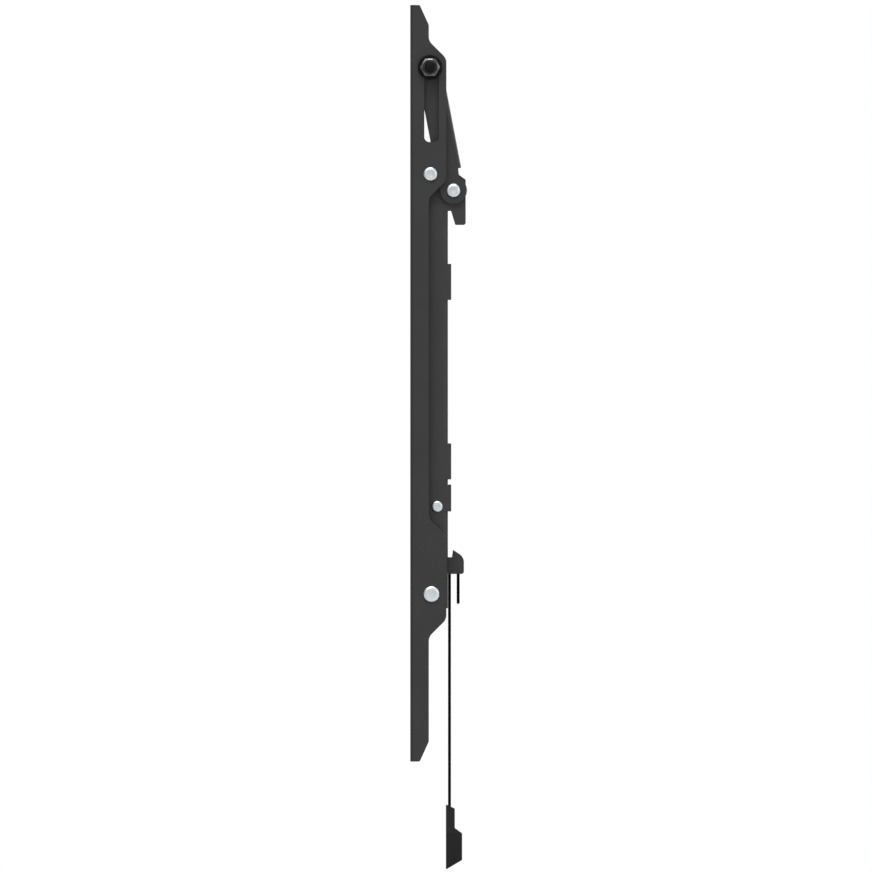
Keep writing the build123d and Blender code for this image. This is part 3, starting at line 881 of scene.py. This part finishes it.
@dataclass
class ClampBolt:
    """The tilt bolt, its lock nut, the nut's nylon ring and the washers and tube round the bolt."""

    flats: float = 10.0 * MM
    corner_soft: float = 0.09 * MM
    shank: float = 2.62 * MM
    thread: float = 2.95 * MM
    pitch: float = 1.0 * MM
    thread_depth: float = 0.5 * MM
    head_height: float = 4.0 * MM
    ring_depth: float = 1.6 * MM
    ring_radius: float = 4.05 * MM
    slope: float = 27.0
    seat_inset: float = 0.2 * MM
    nut_edge: float = 0.13 * MM
    tip_chamfer: float = 0.55 * MM
    segments: int = 192

    def hex_radius(self, angle: np.ndarray) -> np.ndarray:
        """Radius of the hexagon at each angle.

        It is half the flats over the cosine of the angle from the nearest flat's middle, and it
        joins the circle that cuts the corners by a soft minimum, -k ln(exp(-a/k) + exp(-b/k)).
        """
        from_flat = (angle % (pi / 3)) - pi / 6
        straight = self.flats / 2 / np.cos(from_flat)
        corner = self.flats / 2 / cos(pi / 6) - self.corner_soft
        soft = self.corner_soft
        return -soft * np.log(np.exp(-straight / soft) + np.exp(-corner / soft))

    def hex_block(
        self, name: str, start: float, stop: float, rim: float, inner: Sequence[tuple[float, float]]
    ) -> bpy.types.Object:
        """Hexagonal nut or bolt head with its corners turned off at both ends.

        The outer face falls away on a cone from the rim: x = stop - (r - rim) tan slope.

        Args:
            name: the piece's name.
            start: x of the face that bears on the washer.
            stop: x of the outer face.
            rim: radius where the cone starts.
            inner: (depth below the outer face, radius) of the points inside the rim. A last radius
                of 0 closes the face, and any other is the bore, which runs through.

        Returns:
            The new object.
        """
        angle = np.linspace(0, 2 * pi, self.segments, endpoint=False)
        out = self.hex_radius(angle)
        way = 1.0 if stop > start else -1.0
        fall = tan(radians(self.slope))
        bore = inner[-1][1]
        low = start + way * np.maximum(out - self.flats / 2 - self.seat_inset, 0) * fall
        high = stop - way * np.maximum(out - rim, 0) * fall
        seat = self.flats / 2 - self.seat_inset
        stations = [(start, bore), (start, seat), (low, out), (high, out), (stop, rim)]
        stations += [(stop - way * depth, radius) for depth, radius in inner]
        if bore == 0:
            stations = stations[1:-1]
        cy, cz = middle("tilt_bolt")
        rows = [
            np.stack(np.broadcast_arrays(x, cy + r * np.cos(angle), cz + r * np.sin(angle)), axis=-1)
            for x, r in stations
        ]
        obj = grid_piece(name, np.stack(rows), Ends.POLES if bore == 0 else Ends.LOOP)
        soften(obj, self.nut_edge, fold=22.0)
        return obj

    def threaded_rod(self, name: str, start: float, stop: float, tip: float) -> bpy.types.Object:
        """Bolt shank with a rolled thread from x = stop to x = tip.

        At angle a the thread's radius is its crest less depth times the triangle wave of
        x / pitch - a / (2 pi), and the last pitch fades into a chamfer.

        Args:
            name: the piece's name.
            start: x where the shank leaves the head.
            stop: x where the thread begins.
            tip: x of the bolt's end.

        Returns:
            The new object.
        """
        angle = np.linspace(0, 2 * pi, ROUND, endpoint=False)
        x = np.concatenate([np.linspace(start, stop, 12)[:-1], np.linspace(stop, tip, 150)])
        turn = (x[:, None] / self.pitch - angle / (2 * pi)) % 1.0
        wave = np.abs(2 * turn - 1)
        crest = np.clip((wave - 0.12) / 0.76, 0, 1)
        threaded = self.thread - self.thread_depth * (1 - crest)
        chamfer = self.thread - self.tip_chamfer + (tip - x)[:, None] * 1.2
        radius = np.where(x[:, None] < stop, self.shank, np.minimum(threaded, chamfer))
        cy, cz = middle("tilt_bolt")
        across = np.repeat(x[:, None], len(angle), axis=1)
        rows = np.stack([across, cy + radius * np.cos(angle), cz + radius * np.sin(angle)], axis=-1)
        return grid_piece(name, rows, Ends.POLES)

    def build(self, plating: ZincPlate) -> None:
        """Builds the bolt, the nut and what is clamped between them."""
        low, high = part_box("tilt_bolt")
        nut_low, nut_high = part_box("tilt_nut")
        oxide_and_shade = BLACK_OXIDE_AND_SHADE.material("black_oxide_and_shade")
        nickel = BLACK_NICKEL.material("black_nickel")
        # The bolt's rod is near-black: black steel, darkened further as painted shade in the nut's recess.
        rod = self.threaded_rod("tilt_bolt_rod", low.x + self.head_height, nut_low.x - 1.0 * MM, high.x)
        dress(rod, oxide_and_shade, "tilt_arm", ["tilt_bolt"])
        rim = self.flats / 2 - 0.4 * MM
        dish = 0.35 * MM
        head_face = [(0, 0.62 * rim), (dish, 0.52 * rim), (dish, 0.0)]
        head = self.hex_block("tilt_bolt_head", low.x + self.head_height, low.x, rim, head_face)
        dress(head, nickel, "tilt_arm", ["tilt_bolt"])
        depth, radius = self.ring_depth, self.ring_radius
        recess = [(0, radius), (depth, radius), (depth, self.thread + 0.03 * MM)]
        nut = self.hex_block("tilt_nut_hex", nut_low.x, nut_high.x, radius + 0.25 * MM, recess)
        dress(nut, nickel, "tilt_arm", ["tilt_nut"])
        Ring("nut_lock_ring", "tilt_arm", "nylon", self.thread + 0.04 * MM, corner=0.3 * MM).build(
            lambda name, _: LOCK_NYLON.material(name)
        )
        # The washers are near-black: black washers, darkened further as painted shade round the nut.
        Ring("bolt_washers", "tilt_arm", "black_washer", 3.0 * MM, 1.0 * MM, 0.22 * MM).build(
            lambda name, _: BLACK_OXIDE_AND_SHADE.material(name)
        )
        Ring("friction_washers", "tilt_arm", "friction_fibre", 3.0 * MM, 1.0 * MM).build(
            lambda name, _: FIBRE.material(name)
        )
        Ring("bolt_tube", "tilt_arm", "zinc_steel", 3.0 * MM).build(plating.material)


# ---- latch ---------------------------------------------------------


@dataclass
class Latch:
    """The latch slider and the spring that holds it up."""

    edge: float = 0.35 * MM
    wire: float = 0.35 * MM
    turns: float = 6.0
    travel: float = 6.0 * MM
    stations: int = 520
    sides: int = 16

    def spring(self) -> bpy.types.Object:
        """Compression spring.

        Its line is (R cos t, R sin t, pitch t / 2 pi), with the pitch closing up towards both
        ends, and a ring of the wire's radius is carried along it.

        Returns:
            The new object.
        """
        low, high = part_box("latch_spring")
        cy = (low.y + high.y) / 2
        radius = (high.y - low.y) / 2 - self.wire
        t = np.linspace(0, 1, self.stations)
        turn = 2 * pi * self.turns * t
        height = high.z - low.z - 2 * self.wire
        rise = t - 0.35 * np.sin(2 * pi * t) / (2 * pi)
        line = np.stack(
            [radius * np.cos(turn), cy + radius * np.sin(turn), low.z + self.wire + height * rise], axis=-1
        )
        outward = np.stack([np.cos(turn), np.sin(turn), np.zeros_like(turn)], axis=-1)
        rows = carried(line, np.gradient(line, axis=0), outward, self.wire, self.sides)
        around, along = np.meshgrid(np.linspace(0, 1, self.sides, endpoint=False), t * self.turns)
        return grid_piece("latch_spring_coil", rows, Ends.POLES, np.stack([around, along], axis=-1))

    def build(self) -> None:
        """Builds the slider and the spring."""
        slider = refined_copy("latch_slider_moulded", "latch_slider", self.edge)
        dress(slider, LATCH_PLASTIC.material("latch_plastic"), "latch")
        coil = self.spring()
        dress(coil, SpringWire().material("spring_wire"), "hook_rail", ["latch_spring"])
        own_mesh(coil)


# ---- pull cord -----------------------------------------------------


@dataclass
class PullCord:
    """The braided cord from the latch to the knot in the handle, its short tail and the knot."""

    top: float = -207.3 * MM
    bottom: float = -358.0 * MM
    y: float = 0.9 * MM
    length: float = 150.7 * MM
    radius: float = 0.85 * MM
    tail_radius: float = 0.875 * MM
    ring_step: float = 0.16 * MM
    yarns: int = 8
    lay_length: float = 5.2 * MM
    relief: float = 0.11 * MM
    sunk: float = 0.55
    knot_yarn: float = 0.62 * MM

    def route(self) -> np.ndarray:
        """Points down the cord: the latch, two points beside its ends, and the knot.

        The four points are the control points of an open NURBS of order 3, whose line is read back
        from a curve with no bevel.

        Returns:
            Points of the smooth line, shaped (points, 3).
        """
        reach = 10 * MM
        stops = [(0, self.y, z) for z in (self.top, self.top - reach, self.bottom + reach, self.bottom)]
        curve = bpy.data.curves.new("pull_cord_route", "CURVE")
        curve.dimensions = "3D"
        curve.resolution_u = 24
        spline = curve.splines.new("NURBS")
        spline.points.add(len(stops) - 1)
        for point, stop in zip(spline.points, stops):
            point.co = (*stop, 1.0)
        spline.order_u = 3
        spline.use_endpoint_u = True
        holder = bpy.data.objects.new("pull_cord_route", curve)
        mesh = bpy.data.meshes.new_from_object(holder)
        line = np.zeros(len(mesh.vertices) * 3)
        mesh.vertices.foreach_get("co", line)
        bpy.data.meshes.remove(mesh)
        bpy.data.objects.remove(holder)
        bpy.data.curves.remove(curve)
        return line.reshape(-1, 3)

    def braid(self, name: str, line: np.ndarray, radius: float, tip: bool) -> bpy.types.Object:
        """Round braid carried down a line that runs along Z.

        With p = yarns / 2 and q = 2 pi s / lay, the two sets of yarns are the ridges
        |cos p (a + q)| and |cos p (a - q)|. The sign of cos p q times cos p a says which set lies
        on top at each place, so they pass over and under each other. The radius is
        radius - relief (1 - ridge).

        Args:
            name: the piece's name.
            line: points of the centre line.
            radius: the cord's radius at the crowns.
            tip: whether the last ring is melted to a rounded end.

        Returns:
            The new object, with U round the cord, V along it and the crown height as an attribute.
        """
        far = np.concatenate([[0], np.cumsum(np.linalg.norm(np.diff(line, axis=0), axis=1))])
        s = np.linspace(0, far[-1], int(far[-1] / self.ring_step) + 1)
        at = np.stack([np.interp(s, far, line[:, k]) for k in range(3)], axis=-1)
        a = np.linspace(0, 2 * pi, 48, endpoint=False)
        around, along = np.meshgrid(a, s)
        twist = 2 * pi * along / self.lay_length
        half = self.yarns / 2
        left, right = half * (around + twist), half * (around - twist)
        ridge_left, ridge_right = np.abs(np.cos(left)), np.abs(np.cos(right))
        over = np.cos(half * twist) * np.cos(half * around) > 0
        left_on_top = np.maximum(ridge_left, self.sunk * ridge_right)
        right_on_top = np.maximum(ridge_right, self.sunk * ridge_left)
        ridge = np.where(over, left_on_top, right_on_top)
        size = radius - self.relief * (1 - ridge)
        if tip:
            end = np.clip((far[-1] - along) / radius, 0, 1)
            melted = radius * np.sqrt(np.clip(1 - (1 - end) ** 2, 0, 1))
            size = np.minimum(size, melted + 0.02 * MM)
        rows = at[:, None] + np.stack([size * np.cos(a), size * np.sin(a), np.zeros_like(size)], axis=-1)
        uv = np.stack([around / (2 * pi), along / self.lay_length * 0.1], axis=-1)
        return grid_piece(name, rows, Ends.POLES, uv, ridge)

    def knot(self) -> bpy.types.Object:
        """Knot at the cord's end.

        Its line is a trefoil, ((2 + cos 3t) cos 2t, (2 + cos 3t) sin 2t, sin 3t), scaled into the
        CAD knot's box, with a ring of the yarn's radius carried along it.

        Returns:
            The new object.
        """
        low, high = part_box("cord_knot")
        centre, half = (low + high) / 2, (high - low) / 2
        stations, sides = 240, 20
        t = np.linspace(0, 2 * pi, stations, endpoint=False)
        wide = 2 + np.cos(3 * t)
        line = np.stack([wide * np.cos(2 * t) / 3, wide * np.sin(2 * t) / 3, np.sin(3 * t)], axis=-1)
        line = line * (np.array(half) - self.knot_yarn) + np.array(centre)
        ahead = np.roll(line, -1, axis=0) - np.roll(line, 1, axis=0)
        out = line - np.array(centre) + np.array([0, 0, 1e-5])
        rows = carried(line, ahead, out, self.knot_yarn, sides)
        around, along = np.meshgrid(np.linspace(0, 1, sides, endpoint=False), np.linspace(0, 1, stations))
        uv = np.stack([around, along], axis=-1)
        # Stripes that stand for the knot's strands; the braid's material darkens between them as painted
        # shade.
        crown = 0.5 + 0.5 * np.cos(2 * pi * (around * 6 + along * 60))
        return grid_piece("cord_knot_tied", rows, Ends.LOOP, uv, crown)

    def build(self, on_cord: Sequence[Union[str, bpy.types.Object]]) -> None:
        """Args:
            on_cord: the pieces at its far end, such as the handle; not used.
        """
        yarn = BraidedPolyester().material("black_braid")
        line = self.route()
        cord = self.braid("pull_cord_braid", line, self.radius, tip=False)
        dress(cord, yarn, "latch", ["pull_cord"])
        low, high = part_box("cord_tail")
        y = (low.y + high.y) / 2
        stub = np.array([[0, y, high.z], [0, y, low.z]])
        tail = self.braid("cord_tail_braid", stub, self.tail_radius, tip=True)
        dress(tail, yarn, "latch", ["cord_tail"])
        knot = self.knot()
        dress(knot, yarn, "latch", ["cord_knot"])


@dataclass
class PullHandle:
    """The moulded handle and the cover over its knot pocket."""

    edge: float = 0.18 * MM

    def build(self) -> list[bpy.types.Object]:
        """Builds both mouldings.

        Returns:
            The handle and its cover.
        """
        plastic = HANDLE_PLASTIC.material("handle_plastic")
        pieces = []
        for node in ("pull_handle", "handle_cover"):
            piece = refined_copy(f"{node}_moulded", node, self.edge)
            pieces.append(dress(piece, plastic, "latch"))
        return pieces


# ---- studio --------------------------------------------------------


@dataclass
class Studio:
    """Pale floor, white surroundings, soft area lights and the camera."""

    view_width: float = 497.9 * MM
    view_centre: tuple[float, float] = (-6.8 * MM, -128.5 * MM)
    distance: float = 1.6
    floor_drop: float = 3.0 * MM
    floor_size: float = 14.0
    side_glow: float = 0.12
    front_glow: float = 0.57
    ring_glow: float = 0.36
    top_glow: float = 0.55

    def camera(self) -> None:
        """Parallel-view camera square to the bracket's side, at +X looking along -X."""
        data = bpy.data.cameras.new("camera")
        data.type = "ORTHO"
        data.ortho_scale = self.view_width
        data.clip_start = 0.01
        data.clip_end = 10.0
        obj = placed("camera", data)
        obj.location = (self.distance, *self.view_centre)
        obj.rotation_mode = "QUATERNION"
        obj.rotation_quaternion = Vector((-1, 0, 0)).to_track_quat("-Z", "Y")
        bpy.context.scene.camera = obj

    def floor(self) -> None:
        """Pale floor just under the handle."""
        z = CAD_BOX[0].z - self.floor_drop
        h = self.floor_size / 2
        mesh = bpy.data.meshes.new("floor")
        mesh.from_pydata([(-h, -h, z), (h, -h, z), (h, h, z), (-h, h, z)], [], [(0, 1, 2, 3)])
        obj = placed("floor", mesh)
        book = NodeBook.of_material("pale_floor")
        grain = book.noise(book.place(), 40 * MM, 3.0)
        shade = book.tint(grain, (0.84, 0.84, 0.84), (0.87, 0.87, 0.87))
        mesh.materials.append(book.finish({"Base Color": shade, "Roughness": 0.7}))

    def world(self) -> None:
        """White surroundings.

        They are full white where they are seen. As light they are a soft glow,
        side + front * f + ring * g + top * h: f grows towards +X, g is a band round +X that rims
        the round heads, and h grows towards the top.
        """
        world = bpy.data.worlds.new("studio")
        book = NodeBook(world)
        way = book.node("ShaderNodeTexCoord", output="Generated")
        right = book.part(way, "X")
        facing = right.ramp(0.35, 1.0)
        band = right.ramp(0.25, 0.5) * (1.0 - right.ramp(0.75, 0.95))
        above = book.part(way, "Z").ramp(0.5, 1.0)
        side = right.ramp(-0.3, 0.3, (0.3 * self.side_glow, self.side_glow))
        glow = side + facing * self.front_glow + band * self.ring_glow + above * self.top_glow
        white = (1.0, 1.0, 1.0, 1.0)
        lit = book.node("ShaderNodeBackground", None, {"Color": white, "Strength": glow})
        seen = book.node("ShaderNodeBackground", None, {"Color": white, "Strength": 1.0})
        ray = book.node("ShaderNodeLightPath", output="Is Camera Ray")
        both = book.node("ShaderNodeMixShader", None, {0: ray, 1: lit, 2: seen})
        book.node("ShaderNodeOutputWorld", None, {"Surface": both})
        bpy.context.scene.world = world
        bpy.context.scene.view_settings.view_transform = "Standard"

    def lamp(self, name: str, place: Sequence[float], size: tuple[float, float], power: float) -> None:
        """One soft rectangular lamp aimed at the bracket's middle.

        Args:
            name: the lamp's name.
            place: where it hangs, in metres.
            size: its width and height.
            power: its power in watts.
        """
        data = bpy.data.lights.new(name, "AREA")
        data.shape = "RECTANGLE"
        data.size, data.size_y = size
        data.energy = power
        obj = placed(name, data)
        obj.location = place
        aim = Vector((0, *self.view_centre)) - Vector(place)
        obj.rotation_mode = "QUATERNION"
        obj.rotation_quaternion = aim.to_track_quat("-Z", "Y")

    def build(self) -> None:
        """Sets up the whole studio."""
        self.camera()
        self.floor()
        self.world()
        self.lamp("key", (0.7, -0.6, 0.85), (0.7, 0.7), 2.6)
        self.lamp("fill", (0.6, 1.0, 0.2), (0.7, 0.7), 1.8)
        self.lamp("top", (0.85, 0.0, 1.15), (0.6, 0.5), 7.0)
        self.lamp("wall_side", (-0.8, 1.1, 0.6), (0.9, 0.9), 9.0)
        self.lamp("tv_side", (-0.2, -1.4, 0.5), (0.9, 0.9), 1.2)


def main() -> None:
    """Builds the studio, then each sub-assembly in order."""
    logging.basicConfig(level=logging.INFO, format="%(name)s: %(message)s")
    Studio().build()
    zinc = ZincPlate()
    handle = PullHandle().build()
    PullCord().build(handle)
    Latch().build()
    SheetMetal().build()
    for rivet in (
        Rivet("stop_rivet", "tv_bracket", 2.4 * MM, 1.9 * MM),
        Rivet("arm_pivot_rivet", "hook_rail", 3.0 * MM, 1.9 * MM),
        Rivet("tilt_pivot_rivet", "hook_rail", 3.5 * MM, 1.9 * MM),
        Rivet("latch_guide_rivet", "hook_rail", 2.5 * MM, 1.4 * MM),
    ):
        rivet.build(zinc)
    for ring in (
        Ring("stop_tube", "tv_bracket", "zinc_steel", 2.45 * MM),
        Ring("arm_pivot_tube", "hook_rail", "zinc_steel", 3.05 * MM),
        Ring("tilt_pivot_tube", "hook_rail", "zinc_steel", 3.55 * MM),
    ):
        ring.build(zinc.material)
    for ring in (
        Ring("arm_pivot_washers", "hook_rail", "nylon", 3.05 * MM, 0.8 * MM),
        Ring("tilt_pivot_bushes", "hook_rail", "nylon", 3.55 * MM, 3.95 * MM),
    ):
        ring.build(lambda name, _: NYLON.material(name))
    ClampBolt().build(zinc)


if __name__ == "__main__":
    main()
